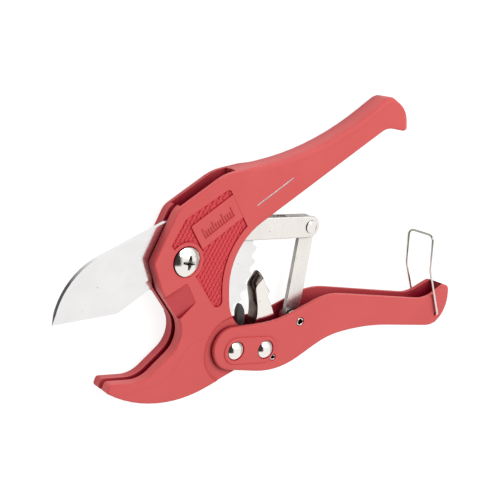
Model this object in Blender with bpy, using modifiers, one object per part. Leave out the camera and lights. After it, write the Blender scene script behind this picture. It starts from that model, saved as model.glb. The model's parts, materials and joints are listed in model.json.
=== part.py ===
"""Ratcheting plastic-pipe cutter, modelled open and lying on its side.

Frame: the tool's own plane is XY, with +X running along the tool from the jaw to the handle ends.
+Z is the side that carries the screw head. The origin is on the blade's pivot axis, on the surface
that the tool lies on. Outlines are written in millimetres in the XY plane, and heights are written
from the tool's mid-plane, which is MID_Z above the origin.

An outline is a list of corners (x, y, radius), counterclockwise, each rounded by an arc of its radius.
"""
import math

import bmesh
import bpy
from mathutils import Matrix, Vector

MM = 0.001
GAP = 0.3                  # air between pieces that touch on the real tool
CHORD_ERROR = 0.05         # how far a facet may lie from its arc
FAR = 90                   # past every side of the tool

# Heights from the mid-plane
MID_Z = 10.2
BODY_HALF = 7.3
LUG_HALF = 6.2
SLOT_HALF = 1.6
CAVITY_HALF = 4.2
GRIP_CAVITY_HALF = 5.4
CHANNEL_HALF = 6.5
TAIL_CHANNEL_HALF = 5.6
HANDLE_HALF = 9.0
TAIL_HALF = 8.2
TAIL_TIP_HALF = 6.4
BLADE_HALF = 1.25
UPPER_LINK_HALF = 3.6
UPPER_LINK_INSIDE = 2.2
LOWER_LINK_HALF = 1.2
PAWL_HALF = 4.0
CATCH_HALF = 1.25

# Depths and thicknesses
PAD_HEIGHT = 0.45
PANEL_DEPTH = 0.7
PATCH_DEPTH = 0.08         # at the patch's inner edge; it slopes down from there
PATCH_TILT_DEG = 9.0
HEAD_SEAT_DEPTH = 0.8
GRIP_WALL = 4.0
FLOOR_THICKNESS = 3.0
PANEL_MARGIN = 4.5

# Joint axes and pins in the XY plane
BLADE_PIVOT = (0.0, 0.0)
HANDLE_PIVOT = (26.3, -50.8)
PAWL_PIVOT = (44.6, -54.6)
BLADE_PIN = (26.0, 10.0)
LINK_KNEE = (77.8, 3.0)
LINK_FOOT = (67.2, -44.9)
SPRING_PIN = (49.4, -60.1)
BAIL_PIVOT = (169.6, -64.2)

# Radii
POST_R = 4.0
POST_BORE_R = 2.7
SCREW_SHANK_R = 2.4
SCREW_HEAD_R = 7.0
RIVET_R = 3.0
RIVET_HEAD_R = 4.5
RIVET_SEAT_R = 4.8
LINK_PIN_R = 1.7
KNEE_HOLE_R = 3.1          # loose: the linkage is open at this joint
KNEE_HEAD_R = 3.2
LINK_FOOT_PIN_R = 2.1
SPRING_PIN_R = 1.45
UPPER_LINK_R = 5.6
LOWER_LINK_R = 4.8
BAIL_WIRE_R = 0.75
LUG_R = 11.3
PANEL_SCREW_R = 9.4
SLOT_REACH = 46.3

# Ratchet teeth round the blade's tail
TOOTH_TIP_R = 45.1
TOOTH_ROOT_R = 42.6
TOOTH_PITCH_DEG = 8.84
FIRST_TOOTH_DEG = 5.94
TOOTH_COUNT = 9

BODY = [
    (-44.4, -54.8, 1.2),       # jaw tip
    (-19.7, -74.1, 61.5),      # underside of the jaw
    (37.8, -59.8, LUG_R),
    (37.8, -45.1, LUG_R),
    (24.2, -34.8, 20),         # neck
    (24.2, 2.5, 33.5),
    (126.0, 49.5, 13),         # underside of the grip's end
    (141.3, 45.5, 3.2),
    (140.6, 57.9, 14),         # rounded end of the grip
    (128.8, 66.3, 7),
    (84.2, 42.6, 170),         # top of the grip
    (23.7, 38.3, 25),          # shoulder
    (-3.4, 25.2, 9),
    (-17.4, 1.9, 3.5),
    (-13.8, -12.3, 15),
    (1.0, -37.4, 14),          # throat
    (-25.0, -54.5, 14),
    (-42.7, -50.9, 1.7),
]
GRIP_CORNERS = slice(7, 11)
GRIP_TOP = 10
NECK = 5

HANDLE = [
    (13.3, -36.8, 10.5),       # clevis end
    (13.3, -57.6, 12),
    (52.6, -69.5, 43),         # belly
    (86.0, -57.5, 50),
    (113.0, -57.5, 150),
    (180.6, -73.9, 15.6),      # rounded tail
    (180.6, -46.4, 4),
    (161.0, -53.0, 25),
    (86.6, -33.5, 38),         # top of the channel's walls
    (52.0, -41.6, 60),
]
FLOOR_CORNERS = slice(2, 6)
HANDLE_PLAN = [(-10, HANDLE_HALF), (60, HANDLE_HALF), (166, TAIL_HALF), (184, TAIL_TIP_HALF)]
CLEVIS_END = (38.5, -62.6)

LABEL_CENTRE = (17.6, 16.4)
LABEL_SIZE = (26.4, 13.5)
LABEL_DEG = 26.5
PANEL_REGION = [
    (3.0, -5.0, 0), (15.0, -25.9, 2), (19.7, -26.3, 2.6), (19.7, -19.0, 0), (50.0, -19.0, 0),
    (24.9, 31.3, 1.8), (-0.2, 20.4, 4), (-8.2, 9.0, 0),
]
FRONT_PATCH = [(-20, -18, 1), (-4.5, -27.5, 1), (4.5, -21, 1), (0, -10.5, 1)]
PATCH_HINGE = (4.5, -21.0), (0.0, -10.5)

BLADE_TIP = (-65.8, -18.6)
BLADE_HEEL = (-33.5, -20.3)
BLADE_HEEL_END = (-12.0, -10.1)
BLADE_SPINE = [(41.5, 8.5, 3), (16.3, 26.2, 12), (-59.0, 3.2, 36)]

PAWL = [
    (46.0, -13.8, 1),          # tip
    (40.3, -20.8, 4),
    (43.9, -34.5, 18),
    (39.2, -53.5, 10),
    (39.3, -60.0, 5),
    (49.6, -60.0, 5),
    (50.4, -51.5, 10),
    (54.3, -38.6, 4),
    (49.9, -28.6, 2),
    (51.4, -26.2, 1),
    (48.3, -20.6, 6),
]
CATCH = [
    (34.9, -29.2, 1),          # tip
    (32.7, -33.2, 4),
    (32.2, -44.2, 3),
    (20.9, -45.4, 5.2),
    (20.9, -56.2, 5.2),
    (31.7, -56.2, 5.2),
    (31.9, -47.2, 3),
    (37.3, -40.8, 4),
    (37.5, -34.4, 5),
]
BAIL = [
    (*BAIL_PIVOT, 4.4, 0), (*BAIL_PIVOT, 9.4, 1.6), (161.4, -35.4, 9.4, 10), (162.4, -15.2, 9.4, 3.5),
    (162.4, -15.2, 0, 0),
]


def fillet(before, corner, after, radius):
    """The arc that rounds a corner between its neighbours, or the corner itself where radius is 0."""
    if radius == 0:
        return [corner]
    to_before = (before - corner).normalized()
    to_after = (after - corner).normalized()
    half_angle = to_before.angle(to_after) / 2
    start = corner + to_before * (radius / math.tan(half_angle))
    centre = corner + (to_before + to_after).normalized() * (radius / math.sin(half_angle))
    outward = (start - centre) / radius
    turn = math.pi - 2 * half_angle
    count = max(2, math.ceil(turn / (2 * math.acos(1 - CHORD_ERROR / radius))))
    angles = [turn * i / count for i in range(count + 1)]
    return [centre + (outward * math.cos(a) - to_before * math.sin(a)) * radius for a in angles]


def rounded(corners):
    """The points of a closed outline."""
    places = [Vector(corner[:-1]) for corner in corners]
    points = []
    for i, corner in enumerate(corners):
        points += fillet(places[i - 1], places[i], places[(i + 1) % len(places)], corner[-1])
    return points


def inset(corners, distance):
    """The same outline moved inwards all round."""
    places = [Vector(corner[:2]) for corner in corners]
    moved = []
    for i, corner in enumerate(corners):
        into = (places[i] - places[i - 1]).normalized()
        out = (places[(i + 1) % len(places)] - places[i]).normalized()
        turn = math.atan2(into.cross(out), into.dot(out))
        normals = Vector((-into.y, into.x)) + Vector((-out.y, out.x))
        place = places[i] + normals.normalized() * (distance / math.cos(turn / 2))
        radius = corner[2] - math.copysign(distance, turn)
        moved.append((place.x, place.y, max(radius, 0)))
    return moved


def polar(centre, radius, degrees):
    a = math.radians(degrees)
    return (centre[0] + radius * math.cos(a), centre[1] + radius * math.sin(a))


def arc(centre, radius, start, end, count):
    step = (end - start) / (count - 1)
    return [polar(centre, radius, start + step * i) for i in range(count)]


def stadium(start, end, radius, count=13):
    along = math.degrees(math.atan2(end[1] - start[1], end[0] - start[0]))
    around_start = arc(start, radius, along + 90, along + 270, count)
    return around_start + arc(end, radius, along - 90, along + 90, count)


def rectangle(centre, size, degrees=0):
    a = math.radians(degrees)
    along = Vector((math.cos(a), math.sin(a))) * size[0] / 2
    across = Vector((-math.sin(a), math.cos(a))) * size[1] / 2
    middle = Vector(centre)
    near, far = middle - across, middle + across
    return [near - along, near + along, far + along, far - along]


def clear_scene():
    for obj in list(bpy.data.objects):
        bpy.data.objects.remove(obj)


def new_collection(name):
    made = bpy.data.collections.new(name)
    bpy.context.scene.collection.children.link(made)
    return made


def new_material(name, colour, roughness, metallic):
    made = bpy.data.materials.new(name)
    made.use_nodes = True
    shader = made.node_tree.nodes["Principled BSDF"]
    shader.inputs["Base Color"].default_value = (*colour, 1.0)
    shader.inputs["Roughness"].default_value = roughness
    shader.inputs["Metallic"].default_value = metallic
    return made


def add_object(name, data, collection, location=(0, 0, 0)):
    obj = bpy.data.objects.new(name, data)
    obj.location = location
    collection.objects.link(obj)
    return obj


def curve_to_mesh(curve_obj, name, collection):
    """Replace a curve object by a welded mesh object in the same place."""
    bpy.context.view_layer.update()
    evaluated = curve_obj.evaluated_get(bpy.context.evaluated_depsgraph_get())
    mesh = bpy.data.meshes.new_from_object(evaluated)
    mesh.name = name
    bm = bmesh.new()
    bm.from_mesh(mesh)
    bmesh.ops.remove_doubles(bm, verts=bm.verts, dist=0.00001)
    bmesh.ops.recalc_face_normals(bm, faces=bm.faces)
    bm.to_mesh(mesh)
    bm.free()
    place = curve_obj.matrix_world.copy()
    bpy.data.objects.remove(curve_obj)
    obj = add_object(name, mesh, collection)
    obj.matrix_world = place
    return obj


def plate(name, points, low, high, rim=0.0, origin=(0, 0), collection=None):
    """A flat outline with thickness from low to high, and its edges rounded by rim."""
    curve = bpy.data.curves.new(name, "CURVE")
    curve.dimensions = "2D"
    curve.fill_mode = "BOTH"
    curve.extrude = ((high - low) / 2 - rim) * MM
    curve.bevel_depth = rim * MM
    curve.bevel_resolution = 1
    curve.offset = -rim * MM
    spline = curve.splines.new("POLY")
    spline.points.add(len(points) - 1)
    spline.use_cyclic_u = True
    for point, place in zip(spline.points, points):
        point.co = ((place[0] - origin[0]) * MM, (place[1] - origin[1]) * MM, 0, 1)
    location = (origin[0] * MM, origin[1] * MM, (MID_Z + (low + high) / 2) * MM)
    where = collection or PARTS
    return curve_to_mesh(add_object(name + "_curve", curve, where, location), name, where)


def cutter(name, points, low, high, rim=0.0):
    return plate(name, points, low, high, rim, collection=CUTTERS)


def disc(name, centre, radius, low, high, sides=40, top_radius=None):
    """A round cutter; top_radius makes it a cone."""
    mesh = bpy.data.meshes.new(name)
    bm = bmesh.new()
    bmesh.ops.create_cone(
        bm, cap_ends=True, segments=sides, radius1=radius * MM,
        radius2=(top_radius or radius) * MM, depth=(high - low) * MM,
    )
    bm.to_mesh(mesh)
    bm.free()
    place = (centre[0] * MM, centre[1] * MM, (MID_Z + (low + high) / 2) * MM)
    return add_object(name, mesh, CUTTERS, place)


def turned(name, profile, centre, steps=24):
    """A profile of (radius, height) points, listed from the top down, turned about a Z axis."""
    mesh = bpy.data.meshes.new(name)
    verts = [(r * MM, 0, z * MM) for r, z in profile]
    edges = [(i, i + 1) for i in range(len(verts) - 1)]
    mesh.from_pydata(verts, edges, [])
    obj = add_object(name, mesh, PARTS, (centre[0] * MM, centre[1] * MM, MID_Z * MM))
    screw = obj.modifiers.new("turn", "SCREW")
    screw.steps = steps
    screw.render_steps = steps
    screw.use_merge_vertices = True
    screw.merge_threshold = 0.00001
    return obj


def make_spacer(name, centre, inner, outer, spaced_half):
    """A ring between the back wall of the channel and the piece that it spaces."""
    low, high = GAP - CHANNEL_HALF, -spaced_half - GAP
    profile = [(inner, high), (outer, high), (outer, low), (inner, low), (inner, high)]
    finish(turned(name, profile, centre), STEEL)


def dome(radius, height, base, count=4):
    """Profile points of a low dome from its crown down to its rim."""
    sphere = (radius ** 2 + height ** 2) / (2 * height)
    half_angle = math.asin(radius / sphere)
    angles = [half_angle * i / count for i in range(count + 1)]
    return [(sphere * math.sin(a), base + height - sphere * (1 - math.cos(a))) for a in angles]


def wire(name, points, radius, origin):
    """A round wire through points (x, y, height)."""
    curve = bpy.data.curves.new(name, "CURVE")
    curve.dimensions = "3D"
    curve.bevel_depth = radius * MM
    curve.bevel_resolution = 1
    curve.use_fill_caps = True
    spline = curve.splines.new("POLY")
    spline.points.add(len(points) - 1)
    for point, (x, y, z) in zip(spline.points, points):
        point.co = ((x - origin[0]) * MM, (y - origin[1]) * MM, z * MM, 1)
    return add_object(name, curve, PARTS, (origin[0] * MM, origin[1] * MM, MID_Z * MM))


def boolean(obj, other, operation):
    modifier = obj.modifiers.new(other.name, "BOOLEAN")
    modifier.operation = operation
    modifier.solver = "EXACT"
    modifier.object = other
    other.hide_render = True
    other.display_type = "WIRE"


def cut(obj, *others):
    for other in others:
        boolean(obj, other, "DIFFERENCE")


def finish(obj, material, smooth_angle=35):
    obj.data.materials.append(material)
    if obj.type == "MESH":
        obj.data.shade_smooth()
        obj.data.set_sharp_from_angle(angle=math.radians(smooth_angle))
    return obj


def outer_layer(side, inner, outer):
    """The heights between two distances from the mid-plane, on one side of it."""
    return sorted((side * inner, side * outer))


def round_grip(body):
    """Give the grip's top and end a large radius, fading out at the shoulder."""
    rounding_rim = 3.6
    clearance = 0.05
    corners = [(-FAR, 70, 0), (-FAR, -FAR, 0), (160, -FAR, 0), (160, 30, 0)]
    corners += inset(BODY, -GAP)[GRIP_CORNERS] + [(40, 39.6, 25), (18, 50, 10), (4, 70, 0)]
    half = BODY_HALF + clearance
    boolean(body, cutter("grip_rounding", rounded(corners), -half, half, rounding_rim), "INTERSECT")


def cut_blade_slot(body):
    """The blade's slot is open along the jaw, the throat, the front and the top."""
    corners = [(-FAR, 60, 0), (-FAR, -FAR, 0), (-26.5, -FAR, 0), (-26.0, -62.0, 6), (-8.0, -49.0, 8)]
    points = [place[:] for place in rounded(corners + [(2.0, -47.6, 0)])]
    points += arc(BLADE_PIVOT, SLOT_REACH, -86, 48, 14) + [(30.5, 60)]
    cut(body, cutter("blade_slot", points, -SLOT_HALF, SLOT_HALF))


def cut_cavities(body):
    """The wide cavity that the link works in, the hollow grip and the catch's pocket in the lug."""
    hub_r = 11.4
    cavity = [(-1.0, 60), (-1.0, hub_r)] + arc(BLADE_PIVOT, hub_r, 80, -20, 6)
    cavity += [(28, -9), (50, -9), (50, 36.2), (30.5, 35.2), (30.5, 60)]
    cut(body, cutter("link_cavity", cavity, -CAVITY_HALF, CAVITY_HALF))
    roof = inset(BODY, GRIP_WALL)[GRIP_TOP]
    hollow = [(40, 0, 0), (121.5, 30, 0), (121.5, 57.6, 0), roof, (40, 35.3, 0)]
    cut(body, cutter("grip_cavity", rounded(hollow), -GRIP_CAVITY_HALF, GRIP_CAVITY_HALF))
    pocket = arc(HANDLE_PIVOT, 6.6, 100, 380, 10) + [(42, -38), (42, -28), (30, -30)]
    cut(body, cutter("catch_pocket", pocket, -SLOT_HALF, SLOT_HALF))


def tilt_about(obj, line, degrees, z):
    """Turn an object about the line between two places at a height."""
    start, end = (Vector((*place, z)) * MM for place in line)
    turn = Matrix.Rotation(math.radians(degrees), 4, (end - start).normalized())
    bpy.context.view_layer.update()
    obj.matrix_world = Matrix.Translation(start) @ turn @ Matrix.Translation(-start) @ obj.matrix_world


def front_of_neck(margin):
    """Everything in front of the neck's back edge and of the grip's underside, less a margin."""
    moved = inset(BODY, margin)
    below, neck, beyond = moved[NECK - 1], moved[NECK], moved[NECK + 1]
    return rounded([(*below[:2], 0), neck, (*beyond[:2], 0), (-60, FAR, 0), (-60, -60, 0)])


def cut_panels(body):
    """On each side: the lug's step, the head's seat, the panel round the label and the front patch."""
    lug_edge = 1.6
    to_grip = 6.0              # the label runs on into the plain face of the grip
    label_middle = polar(LABEL_CENTRE, to_grip / 2, LABEL_DEG)
    label = rectangle(label_middle, (LABEL_SIZE[0] + to_grip, LABEL_SIZE[1]), LABEL_DEG)
    for side, name in ((1, "front"), (-1, "back")):
        inner, outer = (16.8, 18.4) if side > 0 else (18.4, 16.8)
        low, high = outer_layer(side, LUG_HALF, LUG_HALF + lug_edge)
        cut(body, disc("lug_step_" + name, HANDLE_PIVOT, inner, low, high, 56, outer))
        low, high = outer_layer(side, BODY_HALF - HEAD_SEAT_DEPTH, BODY_HALF + 2)
        cut(body, disc("head_seat_" + name, BLADE_PIVOT, SCREW_HEAD_R + 0.5, low, high))
        low, high = outer_layer(side, BODY_HALF - PANEL_DEPTH, BODY_HALF + 2)
        panel = cutter("panel_" + name, rounded(PANEL_REGION), low, high)
        boolean(panel, cutter("region_" + name, front_of_neck(PANEL_MARGIN), low - 1, high + 1), "INTERSECT")
        cut(panel, disc("round_screw_" + name, BLADE_PIVOT, PANEL_SCREW_R, low - 2, high + 2))
        cut(panel, cutter("label_" + name, label, low - 3, high + 3))
        cut(body, panel)
        low, high = outer_layer(side, BODY_HALF - PATCH_DEPTH, BODY_HALF + 2)
        patch = cutter("patch_" + name, rounded(FRONT_PATCH), low, high)
        tilt_about(patch, PATCH_HINGE, -side * PATCH_TILT_DEG, MID_Z + side * BODY_HALF)
        cut(body, patch)


def make_body():
    body = plate("body_casting", rounded(BODY), -BODY_HALF, BODY_HALF, rim=0.9)
    round_grip(body)
    cut_blade_slot(body)
    cut_cavities(body)
    cut(body, disc("pivot_hole", BLADE_PIVOT, POST_R + GAP, -20, 20))
    cut(body, disc("lug_hole", HANDLE_PIVOT, RIVET_R + GAP, -20, 20))
    cut_panels(body)
    finish(body, RED)


def teeth():
    """The blade's toothed tail edge, from its lower end to its upper end."""
    points = []
    for i in range(TOOTH_COUNT):
        tip = FIRST_TOOTH_DEG - TOOTH_PITCH_DEG * i
        points.append(polar(BLADE_PIVOT, TOOTH_TIP_R, tip))
        points.append(polar(BLADE_PIVOT, TOOTH_TIP_R - 0.5, tip - 0.25 * TOOTH_PITCH_DEG))
        points.append(polar(BLADE_PIVOT, TOOTH_ROOT_R, tip - 0.55 * TOOTH_PITCH_DEG))
        points.append(polar(BLADE_PIVOT, TOOTH_ROOT_R + 0.2, tip - 0.8 * TOOTH_PITCH_DEG))
    return points[::-1]


def grind_cutter(name, start, end, side):
    """A slab tilted about a cutting edge, so that it leaves the blade thin along that edge."""
    grind_width, edge_half = 5.0, 0.15
    along = Vector((end[0] - start[0], end[1] - start[1], 0))
    length = along.length
    along.normalize()
    inward = Vector((-along.y, along.x, 0))
    tilt = math.atan2(BLADE_HALF - edge_half, grind_width)
    mesh = bpy.data.meshes.new(name)
    bm = bmesh.new()
    bmesh.ops.create_cube(bm, size=1)
    bmesh.ops.scale(bm, verts=bm.verts, vec=(length * 1.1 * MM, 20 * MM, 4 * MM))
    bmesh.ops.translate(bm, verts=bm.verts, vec=(0, 0, 2 * MM))
    frame = Matrix((along, inward, Vector((0, 0, 1)))).transposed().to_4x4()
    turn = Matrix.Rotation(tilt, 4, "X")
    flip = Matrix.Scale(side, 4, Vector((0, 0, 1)))
    place = flip @ frame @ Matrix.Translation((0, 0, edge_half * MM)) @ turn
    bmesh.ops.transform(bm, matrix=place, verts=bm.verts)
    bmesh.ops.recalc_face_normals(bm, faces=bm.faces)
    bm.to_mesh(mesh)
    bm.free()
    middle = ((start[0] + end[0]) / 2 * MM, (start[1] + end[1]) / 2 * MM, MID_Z * MM)
    return add_object(name, mesh, CUTTERS, middle)


def make_blade():
    under_hub = (3.0, -21.0)
    tail_end = polar(BLADE_PIVOT, 36, -76)
    points = [BLADE_TIP, BLADE_HEEL, BLADE_HEEL_END, under_hub, tail_end] + teeth()
    places = [Vector(points[-1])] + [Vector(corner[:2]) for corner in BLADE_SPINE] + [Vector(BLADE_TIP)]
    for i, corner in enumerate(BLADE_SPINE):
        points += fillet(places[i], places[i + 1], places[i + 2], corner[2])
    blade = plate("blade", points, -BLADE_HALF, BLADE_HALF)
    cut(blade, disc("blade_pivot_hole", BLADE_PIVOT, POST_R + GAP, -5, 5))
    cut(blade, disc("blade_pin_hole", BLADE_PIN, LINK_PIN_R + GAP, -5, 5, 24))
    for side, name in ((1, "front"), (-1, "back")):
        cut(blade, grind_cutter("edge_grind_" + name, BLADE_TIP, BLADE_HEEL, side))
        cut(blade, grind_cutter("heel_grind_" + name, BLADE_HEEL, BLADE_HEEL_END, side))
    finish(blade, STEEL)


def make_pivot():
    """The barrel nut and the cross-head screw that goes into it."""
    seat = BODY_HALF - HEAD_SEAT_DEPTH + GAP
    post_top, post_head_r, chamfer = 5.6, SCREW_HEAD_R - 0.2, 1.0
    bore_floor = -MID_Z + 3.2
    post = turned("pivot_post", [
        (POST_BORE_R, post_top), (POST_R, post_top), (POST_R, -seat), (post_head_r, -seat),
        (post_head_r, chamfer - MID_Z), (post_head_r - chamfer, -MID_Z), (0, -MID_Z),
        (0, bore_floor), (POST_BORE_R, bore_floor), (POST_BORE_R, post_top),
    ], BLADE_PIVOT)
    rim_height, crown_height = 1.1, 2.4
    screw = turned("pivot_screw", dome(SCREW_HEAD_R, crown_height, seat + rim_height) + [
        (SCREW_HEAD_R - 0.15, seat), (SCREW_SHANK_R, seat), (SCREW_SHANK_R, bore_floor + 0.8),
        (0, bore_floor + 0.4),
    ], BLADE_PIVOT)
    arm_length, arm_width, cross_depth = 7.2, 1.6, 2.6
    top = seat + rim_height + crown_height
    for name, size in (("cross_x", (arm_length, arm_width)), ("cross_y", (arm_width, arm_length))):
        cut(screw, cutter(name, rectangle(BLADE_PIVOT, size), top - cross_depth, top + 2))
    finish(post, BRIGHT)
    finish(screw, BRIGHT)


def make_rivet(name, centre, half, shank, head_r, head_h, foot_h):
    """A domed head on the screw side and a flat peened foot on the other."""
    under = half + GAP
    rim, chamfer = 0.3, 0.8
    profile = dome(head_r, head_h, under + rim) + [
        (head_r - 0.1, under), (shank, under), (shank, -under), (head_r, -under),
        (head_r, rim - under - foot_h), (head_r - chamfer, -under - foot_h), (0, -under - foot_h),
    ]
    finish(turned(name, profile, centre), BRIGHT)


def make_flush_rivet():
    """The pin between the upper link and the blade, flush with the link's cheeks."""
    half, chamfer = UPPER_LINK_HALF + 0.1, 0.2
    profile = [
        (0, half), (LINK_PIN_R - chamfer, half), (LINK_PIN_R, half - chamfer),
        (LINK_PIN_R, chamfer - half), (LINK_PIN_R - chamfer, -half), (0, -half),
    ]
    finish(turned("blade_link_rivet", profile, BLADE_PIN), BRIGHT)


def make_roll_pin(name, centre, radius, wall):
    """A slotted spring pin: a rolled sleeve with an open seam."""
    seam, count, half = 16, 17, HANDLE_HALF - 0.1
    points = arc(centre, radius, seam, 360 - seam, count)
    points += arc(centre, radius - wall, 360 - seam, seam, count)
    finish(plate(name, points, -half, half, origin=centre), BRIGHT)


def make_upper_link():
    """A stamped channel: two cheeks joined by a short web along the top."""
    link = plate("upper_link", stadium(BLADE_PIN, LINK_KNEE, UPPER_LINK_R), -UPPER_LINK_HALF,
                 UPPER_LINK_HALF, rim=0.4, origin=BLADE_PIN)
    span = Vector(LINK_KNEE) - Vector(BLADE_PIN)
    along = span.normalized()
    across = Vector((-along.y, along.x))
    web_start, web_end, web_inside, side = 37.0, span.length - 3.0, UPPER_LINK_R - 1.4, UPPER_LINK_R + 3.4
    end = span.length + side
    hollow = [(-side, -side), (end, -side), (end, side), (web_end, side), (web_end, web_inside),
              (web_start, web_inside), (web_start, side), (-side, side)]
    points = [Vector(BLADE_PIN) + along * s + across * t for s, t in hollow]
    cut(link, cutter("upper_link_hollow", points, -UPPER_LINK_INSIDE, UPPER_LINK_INSIDE))
    for name, centre in (("blade", BLADE_PIN), ("knee", LINK_KNEE)):
        cut(link, disc("upper_link_hole_" + name, centre, LINK_PIN_R + GAP, -9, 9, 24))
    finish(link, NICKEL)


def make_lower_link():
    link = plate("lower_link", stadium(LINK_FOOT, LINK_KNEE, LOWER_LINK_R), -LOWER_LINK_HALF,
                 LOWER_LINK_HALF, rim=0.25, origin=LINK_FOOT)
    cut(link, disc("lower_link_knee", LINK_KNEE, KNEE_HOLE_R, -9, 9, 28))
    cut(link, disc("lower_link_foot", LINK_FOOT, LINK_FOOT_PIN_R + GAP, -9, 9, 24))
    finish(link, NICKEL)


def make_pawls():
    pawl = plate("drive_pawl", rounded(PAWL), -PAWL_HALF, PAWL_HALF, rim=0.6, origin=PAWL_PIVOT)
    cut(pawl, disc("pawl_bore", PAWL_PIVOT, RIVET_R + GAP, -9, 9, 28))
    finish(pawl, BRIGHT)
    catch = plate("holding_pawl", rounded(CATCH), -CATCH_HALF, CATCH_HALF, rim=0.2, origin=HANDLE_PIVOT)
    cut(catch, disc("catch_bore", HANDLE_PIVOT, RIVET_R + GAP, -9, 9, 28))
    finish(catch, BLACK)


def plan_form(name, half_widths):
    """A block with the given half widths along X, as tall in Y as the handle needs."""
    outline = [(x, half) for x, half in half_widths] + [(x, -half) for x, half in reversed(half_widths)]
    mesh = bpy.data.meshes.new(name)
    bm = bmesh.new()
    flat = [bm.verts.new((x * MM, -100 * MM, half * MM)) for x, half in outline]
    face = bm.faces.new(flat)
    swept = bmesh.ops.extrude_face_region(bm, geom=[face])
    verts = [item for item in swept["geom"] if isinstance(item, bmesh.types.BMVert)]
    bmesh.ops.translate(bm, verts=verts, vec=(0, 100 * MM, 0))
    bmesh.ops.recalc_face_normals(bm, faces=bm.faces)
    bm.to_mesh(mesh)
    bm.free()
    return add_object(name, mesh, CUTTERS, (0, 0, MID_Z * MM))


def make_channel():
    """The inside of the handle: open along the top, with a floor from the end of the clevis on."""
    top, tail_end_x = -20, 177.6
    corners = [(0, -FAR, 0), (CLEVIS_END[0], -FAR, 0), (*CLEVIS_END, 0)]
    corners += inset(HANDLE, FLOOR_THICKNESS)[FLOOR_CORNERS] + [(tail_end_x, top, 0), (0, top, 0)]
    channel = cutter("channel", rounded(corners), -20, 20)
    tip_half = TAIL_CHANNEL_HALF - 1.6
    widths = [(-20, CHANNEL_HALF), (62, CHANNEL_HALF), (166, TAIL_CHANNEL_HALF), (190, tip_half)]
    boolean(channel, plan_form("channel_plan", widths), "INTERSECT")
    return channel


def make_handle():
    handle = plate("lower_handle", rounded(HANDLE), -HANDLE_HALF, HANDLE_HALF, rim=1.3, origin=HANDLE_PIVOT)
    boolean(handle, plan_form("handle_plan", [(x, half + 0.02) for x, half in HANDLE_PLAN]), "INTERSECT")
    pad_half = HANDLE_HALF + PAD_HEIGHT
    pads = cutter("rivet_pads", stadium(HANDLE_PIVOT, PAWL_PIVOT, 7.0), -pad_half, pad_half, rim=0.4)
    boolean(handle, pads, "UNION")
    cut(handle, make_channel())
    holes = (("handle", HANDLE_PIVOT, RIVET_R), ("pawl", PAWL_PIVOT, RIVET_R),
             ("foot", LINK_FOOT, LINK_FOOT_PIN_R), ("spring", SPRING_PIN, SPRING_PIN_R),
             ("bail", BAIL_PIVOT, BAIL_WIRE_R))
    for name, centre, radius in holes:
        cut(handle, disc(name + "_hole", centre, radius + GAP, -20, 20, 28))
    for name, centre in (("handle", HANDLE_PIVOT), ("pawl", PAWL_PIVOT)):
        for side, which in ((1, "front"), (-1, "back")):
            low, high = outer_layer(side, pad_half - HEAD_SEAT_DEPTH, pad_half + 4)
            seat_name = "rivet_seat_%s_%s" % (name, which)
            cut(handle, disc(seat_name, centre, RIVET_SEAT_R, low, high, 32))
    finish(handle, RED)


def torsion_spring(name, centre, mean_r, low, turns, wire_r, start_deg, first_leg, last_leg):
    per_turn = 14
    pitch = wire_r * 2 + 0.12
    coil = []
    for i in range(int(turns * per_turn) + 1):
        place = polar(centre, mean_r, start_deg + 360 * i / per_turn)
        coil.append((*place, low + pitch * i / per_turn))
    points = [(*first_leg, low)] + coil + [(*last_leg, coil[-1][2])]
    finish(wire(name, points, wire_r, centre), SPRING)


def make_bail():
    """A wire loop: from inside one wall of the handle, round the top, and back into the other."""
    places = [Vector(corner[:3]) for corner in BAIL]
    leg = [places[0]]
    for i in range(1, len(BAIL) - 1):
        leg += fillet(places[i - 1], places[i], places[i + 1], BAIL[i][3])
    points = [tuple(place) for place in leg]
    points += [(x, y, -z) for x, y, z in reversed(points)]
    finish(wire("bail", points, BAIL_WIRE_R, BAIL_PIVOT), BRIGHT)


clear_scene()
PARTS = new_collection("pipe_cutter")
CUTTERS = new_collection("cutters")
RED = new_material("red_powder_coat", (0.62, 0.10, 0.09), 0.42, 0.0)
STEEL = new_material("polished_blade_steel", (0.86, 0.86, 0.86), 0.12, 1.0)
NICKEL = new_material("nickel_plate", (0.80, 0.78, 0.75), 0.28, 1.0)
BRIGHT = new_material("bright_chrome", (0.88, 0.87, 0.85), 0.08, 1.0)
BLACK = new_material("black_oxide", (0.07, 0.065, 0.07), 0.45, 0.6)
SPRING = new_material("spring_steel", (0.45, 0.44, 0.42), 0.3, 1.0)

RIVET_SEAT = HANDLE_HALF + PAD_HEIGHT - HEAD_SEAT_DEPTH

make_body()
make_blade()
make_pivot()
make_flush_rivet()
make_upper_link()
make_lower_link()
make_handle()
make_pawls()
make_rivet("handle_rivet", HANDLE_PIVOT, RIVET_SEAT, RIVET_R, RIVET_HEAD_R, 1.9, 1.25)
make_rivet("pawl_rivet", PAWL_PIVOT, RIVET_SEAT, RIVET_R, RIVET_HEAD_R, 1.9, 1.25)
make_rivet("link_knee_rivet", LINK_KNEE, UPPER_LINK_HALF, LINK_PIN_R, KNEE_HEAD_R, 0.5, 0.6)
make_roll_pin("link_roll_pin", LINK_FOOT, LINK_FOOT_PIN_R, 0.6)
make_roll_pin("spring_roll_pin", SPRING_PIN, SPRING_PIN_R, 0.45)
make_spacer("pawl_spacer", PAWL_PIVOT, RIVET_R + GAP, 5.0, PAWL_HALF)
make_spacer("link_spacer", LINK_FOOT, LINK_FOOT_PIN_R + GAP, 3.5, LOWER_LINK_HALF)
torsion_spring("pawl_spring", PAWL_PIVOT, 4.2, 4.72, 1.25, 0.4, 250, (47.4, -60.9), (49.5, -46.2))
torsion_spring("link_spring", LINK_FOOT, 4.1, 2.2, 3.25, 0.45, 300, (74.5, -51.5), (70.6, -38.6))
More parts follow.
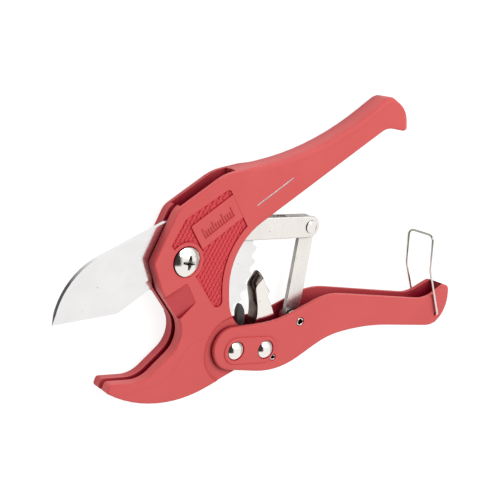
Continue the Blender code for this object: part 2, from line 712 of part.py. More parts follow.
make_bail()
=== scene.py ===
"""The looks of the ratcheting plastic-pipe cutter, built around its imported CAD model.

The tool's lengths are written in millimetres and turned into metres by MM. It lies on its side, in
the XY plane, with its mid-plane MID_Z above Z = 0. The outlines of most pieces are copied from the CAD
nodes, and the heights of the turned ones are read from them. The camera, the light and the floor are
placed in metres.
"""
import json
import math

import bmesh
import bpy
from mathutils import Matrix, Vector
from mathutils.bvhtree import BVHTree


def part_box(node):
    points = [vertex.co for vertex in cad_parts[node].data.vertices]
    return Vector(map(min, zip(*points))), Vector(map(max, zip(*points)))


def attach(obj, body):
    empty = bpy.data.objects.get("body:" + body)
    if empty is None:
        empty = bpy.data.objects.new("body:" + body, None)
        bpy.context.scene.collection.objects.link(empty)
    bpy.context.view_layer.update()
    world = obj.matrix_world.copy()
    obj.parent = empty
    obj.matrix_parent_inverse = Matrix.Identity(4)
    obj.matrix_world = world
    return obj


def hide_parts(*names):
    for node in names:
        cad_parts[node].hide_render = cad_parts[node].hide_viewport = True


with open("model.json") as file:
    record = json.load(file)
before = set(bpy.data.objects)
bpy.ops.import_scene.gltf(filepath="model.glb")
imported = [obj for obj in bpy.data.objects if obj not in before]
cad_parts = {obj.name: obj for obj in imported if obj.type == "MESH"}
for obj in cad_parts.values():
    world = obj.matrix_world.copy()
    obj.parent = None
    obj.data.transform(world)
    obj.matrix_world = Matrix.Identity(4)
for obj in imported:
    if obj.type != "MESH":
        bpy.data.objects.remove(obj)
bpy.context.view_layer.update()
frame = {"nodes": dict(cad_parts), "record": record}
NODES = frame["nodes"]
BODY_OF = {node: body for body, nodes in frame["record"]["behaviour"]["bodies"].items() for node in nodes}
SLOT_OF = {row["node"]: row["material_slot"] for row in frame["record"]["subparts"]}

MM = 0.001
MID_Z = 10.2

# How far the body's flats and the floors of its panels are from the mid-plane, and how deep raised marks
# sit in the surface that they stand on
FLAT = 7.3
PANEL_FLOOR = 6.6
SUNK = 0.05

CAMERA_PLACE = (-0.22933, 0.13898, 0.38010)
CAMERA_RIGHT = (0.80674, 0.0, 0.59091)
CAMERA_UP = (0.17551, 0.95487, -0.23962)
CAMERA_LENS = 69.79
SENSOR = 36.0
STAGE_CENTRE = Vector((0.05, 0, 0))

# Places on the tool, in the XY plane
BLADE_PIVOT = (0.0, 0.0)
HANDLE_PIVOT = (26.3, -50.8)
PAWL_PIVOT = (44.6, -54.6)
LINK_KNEE = (77.8, 3.0)
LINK_FOOT = (67.2, -44.9)
SPRING_PIN = (49.4, -60.1)
LABEL_CENTRE = Vector((17.6, 16.4))
LABEL_SIZE = (26.4, 13.5)
LABEL_DEG = 26.5
GRIP_STRIPE = [(40.8, 20.6), (63.0, 31.2)]

# The corners of the jaw's raised line, each with the radius that rounds it
JAW_RIDGE = [(-38.5, -58.0, 0), (-12.8, -57.8, 16), (1.4, -40.8, 9), (12.8, -39.6, 0)]

# The knurled panels: the lattice of their dashes and its reach each way, one raised dash and its crest,
# and the middle part of a dash that has to stand on the panel's floor
KNURL_ORIGIN = Vector((11.76, 3.07))
KNURL_STEP = Vector((2.31, -0.25))
KNURL_ROW = Vector((0.93, -2.21))
KNURL_STEPS = 24
KNURL_ROWS = 20
DASH_DEG = 50
DASH_SIZE = (1.7, 1.15)
DASH_CREST = (0.72, 0.45)
DASH_HEIGHT = 0.5
DASH_FOOTING = (0.7, 0.5)


# ---------------------------------------------------------------- materials

class Nodes:
    """A small helper that adds and links shader nodes."""

    def __init__(self, name):
        self.material = bpy.data.materials.new(name)
        self.material.use_nodes = True
        self.tree = self.material.node_tree
        self.shader = self.tree.nodes["Principled BSDF"]

    def add(self, kind):
        return self.tree.nodes.new("ShaderNode" + kind)

    def link(self, source, target):
        self.tree.links.new(source, target)

    def coordinates(self, scale=(1, 1, 1), turn=0.0):
        place = self.add("TexCoord")
        mapping = self.add("Mapping")
        mapping.inputs["Scale"].default_value = scale
        mapping.inputs["Rotation"].default_value = (0, 0, turn)
        self.link(place.outputs["Object"], mapping.inputs["Vector"])
        return mapping.outputs["Vector"]

    def noise(self, where, scale, detail=2.0, roughness=0.5):
        node = self.add("TexNoise")
        node.inputs["Scale"].default_value = scale
        node.inputs["Detail"].default_value = detail
        node.inputs["Roughness"].default_value = roughness
        self.link(where, node.inputs["Vector"])
        return node.outputs["Fac"]

    def span(self, source, low, high, from_low=0.3, from_high=0.7):
        node = self.add("MapRange")
        node.inputs["From Min"].default_value = from_low
        node.inputs["From Max"].default_value = from_high
        node.inputs["To Min"].default_value = low
        node.inputs["To Max"].default_value = high
        self.link(source, node.inputs["Value"])
        return node.outputs["Result"]

    def mix(self, factor, first, second):
        node = self.add("Mix")
        node.data_type = "RGBA"
        self.link(factor, node.inputs["Factor"])
        for socket, value in ((node.inputs["A"], first), (node.inputs["B"], second)):
            if isinstance(value, tuple):
                socket.default_value = (*value, 1.0)
            else:
                self.link(value, socket)
        return node.outputs["Result"]

    def bump(self, height, strength, distance, after=None):
        node = self.add("Bump")
        node.inputs["Strength"].default_value = strength
        node.inputs["Distance"].default_value = distance * MM
        self.link(height, node.inputs["Height"])
        if after is not None:
            self.link(after, node.inputs["Normal"])
        return node.outputs["Normal"]

    def edges(self, radius):
        """1 within a radius of an edge, and 0 on flats."""
        bevel = self.add("Bevel")
        bevel.samples = 6
        bevel.inputs["Radius"].default_value = radius * MM
        dot = self.add("VectorMath")
        dot.operation = "DOT_PRODUCT"
        self.link(bevel.outputs["Normal"], dot.inputs[0])
        self.link(self.add("NewGeometry").outputs["Normal"], dot.inputs[1])
        return self.span(dot.outputs["Value"], 1.0, 0.0, 0.86, 0.99)

    def recesses(self, distance, low, high):
        """1 deep in corners and holes, and 0 in the open: where shade is painted."""
        shade = self.add("AmbientOcclusion")
        shade.samples = 8
        shade.inputs["Distance"].default_value = distance * MM
        return self.span(shade.outputs["AO"], 1.0, 0.0, low, high)


def red_powder_coat(name, base, cloudy, edge_wear_and_highlight, recess_shade_colour):
    """Baked powder paint: orange peel, a little cloudiness, rubbed edges that also carry a painted
    highlight, and painted shade in its recesses.
    """
    nodes = Nodes(name)
    where = nodes.coordinates()
    cloud = nodes.noise(where, 38, 3.0)
    grain = nodes.noise(where, 2400, 2.0, 0.55)
    peel = nodes.noise(where, 700, 2.0)
    colour = nodes.mix(nodes.span(cloud, 0.0, 1.0), base, cloudy)
    # Rubbed edges: their lighter, redder colour is wear and also a painted highlight along the rims
    colour = nodes.mix(nodes.edges(0.7), colour, edge_wear_and_highlight)
    # Painted shade: corners, holes and slots darken towards the recess shade colour
    colour = nodes.mix(nodes.recesses(18, 0.33, 0.92), colour, recess_shade_colour)
    nodes.link(colour, nodes.shader.inputs["Base Color"])
    nodes.link(nodes.span(grain, 0.40, 0.52), nodes.shader.inputs["Roughness"])
    orange_peel = nodes.bump(peel, 0.12, 0.08)
    nodes.link(nodes.bump(grain, 0.15, 0.02, orange_peel), nodes.shader.inputs["Normal"])
    nodes.shader.inputs["Specular IOR Level"].default_value = 0.2
    nodes.shader.inputs["Specular Tint"].default_value = (1.0, 0.5, 0.5, 1)
    return nodes.material


def metal(name, colour, dark, rough, brush=(1, 1, 1), turn=0.0, scale=900, bump=0.1, metallic=1.0,
          recess_shade_brightness=0.12):
    """A bare or plated metal, with streaks along one direction where brush is uneven.

    Its tone clouds from colour to dark, and its recesses get painted shade, the last argument giving how
    bright that shade is beside dark.
    """
    nodes = Nodes(name)
    streaks = nodes.noise(nodes.coordinates(brush, turn), scale, 3.0, 0.6)
    cloud = nodes.noise(nodes.coordinates(), 110, 3.0)
    speck = nodes.noise(nodes.coordinates(), 520, 1.0)
    tone = nodes.mix(nodes.span(cloud, 0.0, 1.0), colour, dark)
    # Random specks of real stain, darker than dark
    stain_and_dark_reflection = tuple(0.6 * c for c in dark)
    tone = nodes.mix(nodes.span(speck, 0.0, 1.0, 0.74, 0.80), tone, stain_and_dark_reflection)
    # Painted shade: recesses, such as the screw's cross recess, darken towards a fraction of dark
    painted_recess_shade = tuple(recess_shade_brightness * c for c in dark)
    tone = nodes.mix(nodes.recesses(3.5, 0.35, 0.80), tone, painted_recess_shade)
    nodes.link(tone, nodes.shader.inputs["Base Color"])
    nodes.link(nodes.span(streaks, rough[0], rough[1]), nodes.shader.inputs["Roughness"])
    nodes.link(nodes.bump(streaks, bump, 0.02), nodes.shader.inputs["Normal"])
    nodes.shader.inputs["Metallic"].default_value = metallic
    return nodes.material


# Noise that is squeezed across X, so that its streaks run along X
BRUSH_ALONG = (1, 16, 16)

# The finish of each material slot in the record
MATERIALS = {
    "red_powder_coat": red_powder_coat(
        "red_powder_coat_finish", (0.575, 0.099, 0.097), (0.545, 0.090, 0.089), (0.62, 0.034, 0.034),
        (0.22, 0.002, 0.016)),
    "polished_blade_steel": metal(
        "blade_steel_finish", (0.93, 0.93, 0.94), (0.88, 0.88, 0.89), (0.10, 0.22), BRUSH_ALONG, 0.31, 60),
    "nickel_plate": metal("nickel_finish", (0.90, 0.875, 0.84), (0.85, 0.825, 0.79), (0.24, 0.38)),
    "bright_chrome": metal(
        "chrome_finish", (0.96, 0.93, 0.89), (0.93, 0.90, 0.86), (0.08, 0.15), bump=0.02, recess_shade_brightness=0.3),
    "black_oxide": metal(
        "black_oxide_finish", (0.05, 0.046, 0.048), (0.11, 0.10, 0.10), (0.28, 0.46), scale=700,
        metallic=0.75),
    "spring_steel": metal(
        "spring_finish", (0.40, 0.38, 0.36), (0.27, 0.26, 0.25), (0.22, 0.40), scale=1500),
}

# Finishes that a piece, or some of its faces, has in place of its slot's own, and the painted shade of the
# slanted patches
PANEL_PAINT = red_powder_coat(
    "panel_floor_finish", (0.62, 0.075, 0.085), (0.59, 0.068, 0.078), (0.64, 0.065, 0.07),
    (0.34, 0.010, 0.022))
# Painted shade: a darker copy of the red paint for the leaning patches near the pivot
PATCH_PAINTED_SHADE = red_powder_coat(
    "slanted_patch_painted_shade", (0.49, 0.066, 0.072), (0.46, 0.060, 0.066), (0.54, 0.055, 0.060),
    (0.13, 0.002, 0.010))
WIRE_STEEL = metal("wire_finish", (0.62, 0.60, 0.55), (0.50, 0.48, 0.44), (0.14, 0.26), scale=1500)
PALE_EDGE = metal("ground_edge_finish", (0.76, 0.76, 0.76), (0.66, 0.66, 0.66), (0.25, 0.45), scale=1400)
SHEARED_STEEL = metal(
    "sheared_edge_finish", (0.40, 0.375, 0.35), (0.22, 0.20, 0.185), (0.3, 0.5), scale=1400)
HARDENED_STEEL = metal(
    "hardened_edge_finish", (0.030, 0.024, 0.021), (0.17, 0.135, 0.11), (0.12, 0.26), scale=300,
    metallic=0.9)


# ---------------------------------------------------------------- pieces

def add_object(name, data):
    obj = bpy.data.objects.new(name, data)
    bpy.context.scene.collection.objects.link(obj)
    return obj


def dress(piece, slot, body):
    """The finish of a slot in the record for the piece, and the body that it rides on."""
    piece.data.materials.clear()
    piece.data.materials.append(MATERIALS[slot])
    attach(piece, body)


def stand_for(piece, node):
    """The piece takes the place of a CAD node, with the node's slot and body."""
    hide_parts(node)
    dress(piece, SLOT_OF[node], BODY_OF[node])


def smooth(piece, angle):
    """Smooth shading with hard edges over an angle, weighted so that flats stay flat."""
    piece.data.shade_smooth()
    piece.data.set_sharp_from_angle(angle=math.radians(angle))
    weighted = piece.modifiers.new("weighted_normals", "WEIGHTED_NORMAL")
    weighted.keep_sharp = True
    weighted.weight = 90


def refined(node, width=0.0, sharp=28, rounds=0, sides=None, outer=False):
    """A copy of a CAD node with merged flats, rounded edges and smooth shading, which stands for it.

    Edges are rounded over a width, or the whole piece is subdivided where rounds is given. With outer,
    only the edges that stick out are rounded. Faces between the flats take the finish sides, if any.
    """
    bend = math.radians(28)
    piece = add_object(node + "_finished", NODES[node].data.copy())
    bm = bmesh.new()
    bm.from_mesh(piece.data)
    bmesh.ops.remove_doubles(bm, verts=bm.verts, dist=0.002 * MM)
    if not rounds:
        bmesh.ops.dissolve_limit(bm, angle_limit=math.radians(0.6), verts=bm.verts, edges=bm.edges)
    if outer:
        weights = bm.edges.layers.float.new("bevel_weight_edge")
        for edge in bm.edges:
            edge[weights] = float(edge.is_convex and edge.calc_face_angle() > bend)
    bm.to_mesh(piece.data)
    bm.free()
    if width:
        bevel = piece.modifiers.new("edge_rounding", "BEVEL")
        bevel.width = width * MM
        bevel.segments = 2
        bevel.limit_method = "WEIGHT" if outer else "ANGLE"
        bevel.angle_limit = bend
        bevel.use_clamp_overlap = not outer
    if rounds:
        rounding = piece.modifiers.new("rounding", "SUBSURF")
        rounding.levels = rounds
        rounding.render_levels = rounds
    smooth(piece, sharp)
    stand_for(piece, node)
    if sides is not None:
        piece.data.materials.append(sides)
        for face in piece.data.polygons:
            face.material_index = int(abs(face.normal.z) < 0.75)
    return piece


def slant_tooth(pawl):
    """The faces of the pawl's tooth are drawn back from its middle, which leaves a broad rounded land.

    The tooth reaches from right to left in X and rises from foot to crest in Y, half its thickness
    each way from the mid-plane. Its outer faces are drawn back and dropped the most at left and crest.
    """
    left, right, foot, crest, half = 40.0, 51.0, -34.0, -16.0, 4.0
    drawn, dropped = 3.2, 4.2
    offset = pawl.location / MM
    bm = bmesh.new()
    bm.from_mesh(pawl.data)
    upright = [edge for edge in bm.edges if abs(edge.verts[0].co.z - edge.verts[1].co.z) > half * MM]
    bmesh.ops.subdivide_edges(bm, edges=upright, cuts=7, use_grid_fill=False)
    for vertex in bm.verts:
        x, y, z = vertex.co / MM + offset
        rise = min(max((y - foot) / (crest - foot), 0), 1)
        reach = min(max((right - x) / (right - left), 0), 1)
        depth = min(abs(z - MID_Z) / half, 1) ** 2
        vertex.co += Vector((drawn * rise * reach, -dropped * rise ** 3, 0)) * (depth * MM)
    bm.to_mesh(pawl.data)
    bm.free()


def turned(name, profile, centre, steps=72):
    """A closed profile of (radius, height) points turned about a vertical axis."""
    mesh = bpy.data.meshes.new(name)
    bm = bmesh.new()
    rings = []
    for radius, z in profile:
        count = 1 if radius == 0 else steps
        angles = [math.tau * i / steps for i in range(count)]
        rings.append([bm.verts.new((
            (centre[0] + radius * math.cos(a)) * MM, (centre[1] + radius * math.sin(a)) * MM, z * MM,
        )) for a in angles])
    for upper, lower in zip(rings, rings[1:]):
        for i in range(steps):
            j = (i + 1) % steps
            corners = [upper[i % len(upper)], lower[i % len(lower)]]
            corners += [lower[j % len(lower)], upper[j % len(upper)]]
            bm.faces.new(list(dict.fromkeys(corners)))
    bmesh.ops.recalc_face_normals(bm, faces=bm.faces)
    bm.to_mesh(mesh)
    bm.free()
    return add_object(name, mesh)


def heights(node):
    """The lowest and the highest point of a CAD node."""
    low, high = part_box(node)
    return low[2] / MM, high[2] / MM


def dome(radius, height, base, count=14):
    """Profile points of a low dome from its crown down to its rim."""
    sphere = (radius ** 2 + height ** 2) / (2 * height)
    half_angle = math.asin(radius / sphere)
    angles = [half_angle * i / count for i in range(count + 1)]
    return [(sphere * math.sin(a), base + height - sphere * (1 - math.cos(a))) for a in angles]


def rounded_rim(radius, top, bottom):
    """A head's edge between two heights, with a small round at its foot."""
    size = 0.22
    steps = [math.radians(30 * i) for i in range(4)]
    foot = [(radius - size + size * math.cos(a), bottom + size - size * math.sin(a)) for a in steps]
    return [(radius, top - 0.05)] + foot


def make_rivet(node, centre, head_r, shank_r, seat):
    """A domed head on a plain shank, peened over at its foot. Both heads sit at seat from the mid-plane."""
    low, high = heights(node)
    under, foot_top, rim = MID_Z + seat, MID_Z - seat, 0.3
    peened = ((0, 0.8), (0.25, 0.3), (0.8, 0))
    crown = high - under - rim
    profile = dome(head_r, crown, under + rim) + rounded_rim(head_r, under + rim, under)
    profile += [(shank_r, under), (shank_r, foot_top), (head_r, foot_top)]
    profile += [(head_r - inset, low + rise) for inset, rise in peened] + [(0, low)]
    piece = turned(node + "_finished", profile, centre)
    smooth(piece, 40)
    stand_for(piece, node)


def star_cutter(top, depth, reach, waist, turn):
    """A four-armed tapering recess, as a cross-head driver leaves. Above its top it goes on by 1 mm."""
    half_arm, mouth, tip = 9, 1.25, 0.42
    mesh = bpy.data.meshes.new("star_cutter")
    bm = bmesh.new()
    rings = []
    for z, scale in ((top + 1, mouth), (top - depth, tip)):
        ring = []
        for arm in range(4):
            for offset, radius in ((-half_arm, reach), (half_arm, reach), (45, waist)):
                a = math.radians(turn + 90 * arm + offset)
                ring.append(bm.verts.new((
                    radius * scale * math.cos(a) * MM, radius * scale * math.sin(a) * MM, z * MM)))
        rings.append(ring)
    bm.faces.new(rings[0])
    bm.faces.new(rings[1][::-1])
    for i in range(len(rings[0])):
        j = (i + 1) % len(rings[0])
        bm.faces.new([rings[0][i], rings[1][i], rings[1][j], rings[0][j]])
    bmesh.ops.recalc_face_normals(bm, faces=bm.faces)
    bm.to_mesh(mesh)
    bm.free()
    return mesh


def make_screw():
    """The pivot's low-domed screw head with its cross recess."""
    node = "pivot_screw"
    low, high = heights(node)
    head_r, shank_r, under, rim = 7.0, 2.4, MID_Z + 6.8, 1.1
    crown = high - under - rim
    profile = dome(head_r, crown, under + rim, count=20) + rounded_rim(head_r, under + rim, under)
    profile += [(shank_r, under), (shank_r, low + 0.4), (0, low)]
    piece = turned(node + "_finished", profile, BLADE_PIVOT, steps=96)
    recess = add_object("recess_cutter", star_cutter(high, depth=2.9, reach=3.8, waist=1.4, turn=-12))
    cut = piece.modifiers.new("recess", "BOOLEAN")
    cut.operation = "DIFFERENCE"
    cut.solver = "EXACT"
    cut.object = recess
    apply_modifiers(piece)
    bpy.data.objects.remove(recess)
    smooth(piece, 30)
    stand_for(piece, node)


def apply_modifiers(piece):
    bpy.context.view_layer.update()
    evaluated = piece.evaluated_get(bpy.context.evaluated_depsgraph_get())
    made = bpy.data.meshes.new_from_object(evaluated)
    piece.modifiers.clear()
    piece.data = made


def make_roll_pin(node, centre, radius, wall):
    """A rolled sleeve with chamfered ends, open by seam degrees each way from +X."""
    low, high = heights(node)
    seam, count, chamfer = 16, 40, 0.16
    bm = bmesh.new()
    rings = []
    for z, trim in ((low, chamfer), (low + chamfer, 0), (high - chamfer, 0), (high, chamfer)):
        angles = [math.radians(seam + (360 - 2 * seam) * i / count) for i in range(count + 1)]
        outer = [(radius - trim, a) for a in angles]
        inner = [(radius - wall + trim, a) for a in reversed(angles)]
        rings.append([bm.verts.new((
            (centre[0] + r * math.cos(a)) * MM, (centre[1] + r * math.sin(a)) * MM, z * MM,
        )) for r, a in outer + inner])
    size = len(rings[0])
    for lower, upper in zip(rings, rings[1:]):
        for i in range(size):
            j = (i + 1) % size
            bm.faces.new([lower[i], lower[j], upper[j], upper[i]])
    for ring in (rings[0], rings[-1]):
        for i in range(count):
            bm.faces.new([ring[i], ring[i + 1], ring[size - 2 - i], ring[size - 1 - i]])
    bmesh.ops.recalc_face_normals(bm, faces=bm.faces)
    mesh = bpy.data.meshes.new(node)
    bm.to_mesh(mesh)
    bm.free()
    piece = add_object(node + "_finished", mesh)
    smooth(piece, 30)
    stand_for(piece, node)


# ---------------------------------------------------------------- surface detail

def surface_finder(node):
    """Returns a function for the height of a CAD node's surface, seen from the front or the back."""
    tree = BVHTree.FromObject(NODES[node], bpy.context.evaluated_depsgraph_get())
    offset = NODES[node].matrix_world.translation
    away = 50

    def height(x, y, side):
        start = Vector((x, y, MID_Z + side * away)) * MM - offset
        hit = tree.ray_cast(start, Vector((0, 0, -side)))[0]
        return None if hit is None else (hit.z + offset.z) / MM
    return height


def dash_corners(place, size):
    """The corners of a slanted rectangle, the dash's own or a part of it."""
    a = math.radians(DASH_DEG)
    along = Vector((math.cos(a), math.sin(a))) * size[0] / 2
    across = Vector((-math.sin(a), math.cos(a))) * size[1] / 2
    return [place - along - across, place + along - across, place + along + across, place - along + across]


def make_knurling(height):
    """Rows of small slanted raised dashes over both panels, left out where a dash would meet an edge."""
    flush = 0.02
    bm = bmesh.new()
    for side in (1, -1):
        floor = MID_Z + side * PANEL_FLOOR
        for row in range(-KNURL_ROWS, KNURL_ROWS + 1):
            for step in range(-KNURL_STEPS, KNURL_STEPS + 1):
                place = KNURL_ORIGIN + KNURL_STEP * step + KNURL_ROW * row
                found = [height(*corner, side) for corner in dash_corners(place, DASH_FOOTING)]
                if all(z is not None and abs(z - floor) < flush for z in found):
                    add_dash(bm, place, floor, side)
    mesh = bpy.data.meshes.new("knurling")
    bmesh.ops.recalc_face_normals(bm, faces=bm.faces)
    bm.to_mesh(mesh)
    bm.free()
    piece = add_object("knurling", mesh)
    dress(piece, "red_powder_coat", "body")
    piece.data.materials[0] = PANEL_PAINT


def add_dash(bm, place, floor, side):
    """One dash: a small hipped block, sunk a little into the floor."""
    crest = dash_corners(place, (DASH_SIZE[0] * DASH_CREST[0], DASH_SIZE[1] * DASH_CREST[1]))
    lower = [bm.verts.new((*(c * MM), (floor - side * SUNK) * MM)) for c in dash_corners(place, DASH_SIZE)]
    upper = [bm.verts.new((*(c * MM), (floor + side * DASH_HEIGHT) * MM)) for c in crest]
    bm.faces.new(upper)
    bm.faces.new(lower[::-1])
    for i in range(4):
        j = (i + 1) % 4
        bm.faces.new([lower[i], lower[j], upper[j], upper[i]])


def fillet(before, corner, after, radius):
    """The arc that rounds a corner between its neighbours, or the corner itself where radius is 0."""
    if radius == 0:
        return [corner]
    count = 10
    to_before = (before - corner).normalized()
    to_after = (after - corner).normalized()
    half_angle = to_before.angle(to_after) / 2
    start = corner + to_before * (radius / math.tan(half_angle))
    centre = corner + (to_before + to_after).normalized() * (radius / math.sin(half_angle))
    outward = (start - centre) / radius
    angles = [(math.pi - 2 * half_angle) * i / count for i in range(count + 1)]
    return [centre + (outward * math.cos(a) - to_before * math.sin(a)) * radius for a in angles]


def open_path(corners):
    """The points of a line through rounded corners, from the first corner to the last."""
    places = [Vector(corner[:2]) for corner in corners]
    points = [places[0]]
    for i in range(1, len(corners) - 1):
        points += fillet(places[i - 1], places[i], places[i + 1], corners[i][2])
    return points + [places[-1]]


def make_bead(name, points, z, radius, slot, body):
    """A fine raised line along points, most of it sunk in the surface."""
    curve = bpy.data.curves.new(name, "CURVE")
    curve.dimensions = "3D"
    curve.bevel_depth = radius * MM
    curve.bevel_resolution = 3
    curve.use_fill_caps = True
    spline = curve.splines.new("POLY")
    spline.points.add(len(points) - 1)
    for point, (x, y) in zip(spline.points, points):
        point.co = (x * MM, y * MM, z * MM, 1)
    dress(add_object(name, curve), slot, body)


def make_jaw_ridges():
    """The raised line along each side of the jaw."""
    radius, proud = 0.5, 0.1
    for side, name in ((1, "front"), (-1, "back")):
        z = MID_Z + side * (FLAT + proud - radius)
        make_bead("jaw_ridge_" + name, open_path(JAW_RIDGE), z, radius, "red_powder_coat", "body")


def make_label_scale():
    """A plain raised graduated scale in the label's space, and a fine line at its end, on both sides.

    Every fourth mark is longer, and a line runs under the marks.
    """
    marks, pitch, longer, shorter, mark_foot = 13, 1.5, 4.4, 2.4, 2.2
    half_line, line_foot, width = 9.4, 2.9, 0.55
    end_width, end_proud = 0.35, 0.06
    a = math.radians(LABEL_DEG)
    along = Vector((math.cos(a), math.sin(a)))
    across = Vector((-math.sin(a), math.cos(a)))
    bm = bmesh.new()
    for side in (1, -1):
        z = MID_Z + side * FLAT
        for step in range(marks):
            length = longer if step % 4 == 0 else shorter
            foot = LABEL_CENTRE + along * (pitch * (step - (marks - 1) / 2)) - across * mark_foot
            add_bar(bm, foot, foot + across * length, width, z, side)
        start = LABEL_CENTRE - along * half_line - across * line_foot
        add_bar(bm, start, start + along * (2 * half_line), width, z, side)
        corner = LABEL_CENTRE + along * LABEL_SIZE[0] / 2 - across * LABEL_SIZE[1] / 2
        add_bar(bm, corner, corner + across * LABEL_SIZE[1], end_width, z, side, end_proud)
    mesh = bpy.data.meshes.new("label_scale")
    bmesh.ops.recalc_face_normals(bm, faces=bm.faces)
    bm.to_mesh(mesh)
    bm.free()
    dress(add_object("label_scale", mesh), "red_powder_coat", "body")


def make_grip_stripe():
    """A plain bright line along each side of the grip."""
    radius, proud = 0.9, 0.08
    for side, name in ((1, "front"), (-1, "back")):
        z = MID_Z + side * (FLAT + proud - radius)
        make_bead("grip_stripe_" + name, GRIP_STRIPE, z, radius, "spring_steel", "body")


def add_bar(bm, start, end, width, z, side, proud=0.3):
    """A narrow raised bar with sloping sides."""
    along = (end - start).normalized()
    across = Vector((-along.y, along.x))
    rings = []
    for half, level in ((width / 2, -SUNK), (width / 2 * 0.6, proud)):
        corners = [start - across * half, end - across * half, end + across * half, start + across * half]
        rings.append([bm.verts.new((*(c * MM), (z + side * level) * MM)) for c in corners])
    bm.faces.new(rings[1])
    bm.faces.new(rings[0][::-1])
    for i in range(4):
        j = (i + 1) % 4
        bm.faces.new([rings[0][i], rings[0][j], rings[1][j], rings[1][i]])


# ---------------------------------------------------------------- paint on single pieces

def paint_body(piece):
    """The panels' floors and walls differ in tone from the flats, and the slanted patches get painted
    shade.

    A patch is a face near the pivot that leans a few degrees.
    """
    piece.data.materials.append(PANEL_PAINT)
    piece.data.materials.append(PATCH_PAINTED_SHADE)
    panel, patch = 1, 2
    for face in piece.data.polygons:
        x, y, z = face.center / MM
        level = abs(face.normal.z)
        over_floor = abs(z - MID_Z) - PANEL_FLOOR
        if level > 0.999 and abs(over_floor) < 0.05:
            face.material_index = panel
        if level < 0.5 and 0.05 < over_floor < 0.6 and -32 < y < 34:
            face.material_index = panel
        # Painted shade on the leaning patch faces
        if 0.97 < level < 0.995 and abs(x) < 12 and -42 < y < -8:
            face.material_index = patch


def paint_bail(bail):
    """The bail's wire is bright on its legs and carries a painted dark reflection round its loop."""
    nodes = Nodes("bail_painted_reflections")
    axes = nodes.add("SeparateXYZ")
    nodes.link(nodes.coordinates(), axes.inputs["Vector"])
    loop = nodes.span(axes.outputs["Y"], 0.0, 1.0, -32 * MM, -18 * MM)
    mottle = nodes.noise(nodes.coordinates(), 400, 2.0)
    bright, stain_and_dark_reflection = (0.80, 0.77, 0.74), (0.30, 0.30, 0.26)
    # Painted reflection: the wire turns dark round its loop
    tone = nodes.mix(loop, bright, stain_and_dark_reflection)
    nodes.link(tone, nodes.shader.inputs["Base Color"])
    nodes.link(nodes.span(mottle, 0.10, 0.24), nodes.shader.inputs["Roughness"])
    nodes.shader.inputs["Metallic"].default_value = 1.0
    bail.data.materials[0] = nodes.material


def paint_spine(blade):
    """The blade's spine is polished, with painted shade darkening it towards the tip."""
    nodes = Nodes("spine_polish_and_painted_shade")
    axes = nodes.add("SeparateXYZ")
    nodes.link(nodes.coordinates(), axes.inputs["Vector"])
    tip = nodes.span(axes.outputs["X"], 1.0, 0.0, -57 * MM, -42 * MM)
    # Painted shade: the polished spine darkens to near black towards the tip
    polished, dark = (0.74, 0.74, 0.75), (0.05, 0.05, 0.052)
    nodes.link(nodes.mix(tip, polished, dark), nodes.shader.inputs["Base Color"])
    nodes.shader.inputs["Metallic"].default_value = 1.0
    nodes.shader.inputs["Roughness"].default_value = 0.22
    blade.data.materials.append(nodes.material)
    side, spine = 1, 2
    away_x, away_y, before_pivot = -0.86, 0.51, -12 * MM
    for face in blade.data.polygons:
        outward = face.normal.x * away_x + face.normal.y * away_y
        if face.material_index == side and outward > 0.3 and face.center.x < before_pivot:
            face.material_index = spine


# ---------------------------------------------------------------- stage

def make_camera():
    right, up = Vector(CAMERA_RIGHT).normalized(), Vector(CAMERA_UP).normalized()
    back = right.cross(up)
    data = bpy.data.cameras.new("camera")
    data.lens = CAMERA_LENS
    data.sensor_width = SENSOR
    camera = add_object("camera", data)
    camera.matrix_world = Matrix.Translation(CAMERA_PLACE) @ Matrix((right, up, back)).transposed().to_4x4()
    bpy.context.scene.camera = camera


def make_floor():
    """A wide pale floor just under the tool, which glows as a bright backdrop does."""
    mesh = bpy.data.meshes.new("floor")
    bm = bmesh.new()
    bmesh.ops.create_grid(bm, x_segments=1, y_segments=1, size=20.0)
    bm.to_mesh(mesh)
    bm.free()
    floor = add_object("floor", mesh)
    floor.location = STAGE_CENTRE - Vector((0, 0, 0.3 * MM))
    nodes = Nodes("pale_floor")
    nodes.shader.inputs["Base Color"].default_value = (0.25, 0.25, 0.25, 1)
    nodes.shader.inputs["Roughness"].default_value = 0.9
    nodes.shader.inputs["Emission Color"].default_value = (1, 1, 1, 1)
    nodes.shader.inputs["Emission Strength"].default_value = 0.86
    floor.data.materials.append(nodes.material)


def make_key_light():
    """A large softbox high over the tool's +Y side. Its power gives the same radiance at any size."""
    direction, distance, width, depth, radiance = (0.22, 0.52, 0.82), 1.1, 1.0, 0.8, 3.65
    data = bpy.data.lights.new("key", "AREA")
    data.shape = "RECTANGLE"
    data.size, data.size_y = width, depth
    data.energy = radiance * math.pi * width * depth
    light = add_object("key", data)
    light.location = STAGE_CENTRE + Vector(direction).normalized() * distance
    light.rotation_euler = (STAGE_CENTRE - light.location).to_track_quat("-Z", "Y").to_euler()


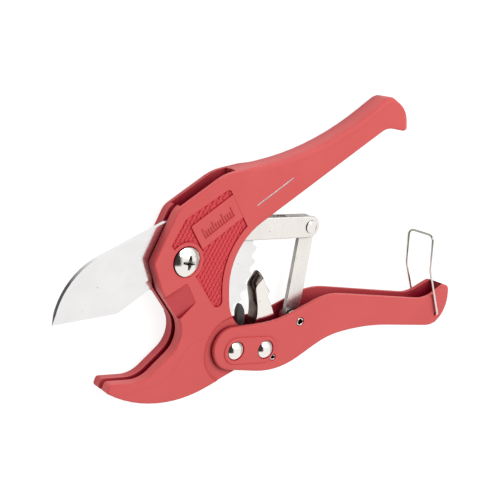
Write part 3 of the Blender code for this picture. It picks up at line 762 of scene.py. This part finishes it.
def make_world():
    """A bright studio, dark high up towards -X, and dimmer low down towards +Y and +X."""
    world = bpy.data.worlds.new("studio")
    bpy.context.scene.world = world
    world.use_nodes = True
    tree = world.node_tree
    place = tree.nodes.new("ShaderNodeTexCoord")
    axes = tree.nodes.new("ShaderNodeSeparateXYZ")
    tree.links.new(place.outputs["Generated"], axes.inputs["Vector"])

    def step(axis, start, end):
        """0 before start and 1 past end, along one axis of the direction."""
        node = tree.nodes.new("ShaderNodeMapRange")
        node.interpolation_type = "SMOOTHSTEP"
        node.inputs["From Min"].default_value = start
        node.inputs["From Max"].default_value = end
        tree.links.new(axes.outputs[axis], node.inputs["Value"])
        return node.outputs["Result"]

    def combine(operation, first, second):
        node = tree.nodes.new("ShaderNodeMath")
        node.operation = operation
        for socket, value in zip(node.inputs, (first, second)):
            if isinstance(value, float):
                socket.default_value = value
            else:
                tree.links.new(value, socket)
        return node.outputs["Value"]

    left = combine("MULTIPLY", step("X", -0.05, -0.32), step("Y", -0.50, -0.30))
    left = combine("MULTIPLY", left, step("Z", 0.42, 0.62))
    behind = combine("MULTIPLY", step("Y", 0.30, 0.62), step("Z", 0.60, 0.35))
    right = combine("MULTIPLY", step("X", 0.74, 0.88), step("Z", 0.42, 0.30))
    shade = combine("MAXIMUM", left, combine("MULTIPLY", behind, 0.40))
    shade = combine("MAXIMUM", shade, combine("MULTIPLY", right, 0.55))
    open_light, deepest_shade = 0.94, 0.90
    light = combine("SUBTRACT", open_light, combine("MULTIPLY", shade, deepest_shade))
    background = tree.nodes["Background"]
    background.inputs["Color"].default_value = (1.0, 0.985, 0.97, 1)
    tree.links.new(light, background.inputs["Strength"])


def paint_cad_nodes():
    """Every CAD node gets its slot's finish, for those that no piece stands for."""
    for node, obj in NODES.items():
        obj.data.materials.clear()
        obj.data.materials.append(MATERIALS[SLOT_OF[node]])


make_camera()
make_floor()
make_key_light()
make_world()
bpy.context.scene.view_settings.view_transform = "Standard"

paint_cad_nodes()
make_knurling(surface_finder("body_casting"))
make_jaw_ridges()
make_label_scale()
make_grip_stripe()
paint_body(refined("body_casting", 0.2))
refined("lower_handle", 0.25, outer=True)
paint_spine(refined("blade", 0.0, sharp=8, sides=PALE_EDGE))
refined("upper_link", 0.15, sides=SHEARED_STEEL)
refined("lower_link", 0.12, sides=SHEARED_STEEL)
slant_tooth(refined("drive_pawl", 0.12, sides=HARDENED_STEEL))
refined("holding_pawl", 0.12)
refined("pivot_post", 0.15)
paint_bail(refined("bail", rounds=2))
for wire in ("pawl_spring", "link_spring"):
    refined(wire, rounds=2).data.materials[0] = WIRE_STEEL
make_screw()
for rivet, centre in (("handle_rivet", HANDLE_PIVOT), ("pawl_rivet", PAWL_PIVOT)):
    make_rivet(rivet, centre, head_r=4.5, shank_r=3.0, seat=8.95)
make_rivet("link_knee_rivet", LINK_KNEE, head_r=3.2, shank_r=1.7, seat=3.9)
make_roll_pin("link_roll_pin", LINK_FOOT, radius=2.1, wall=0.6)
make_roll_pin("spring_roll_pin", SPRING_PIN, radius=1.45, wall=0.45)
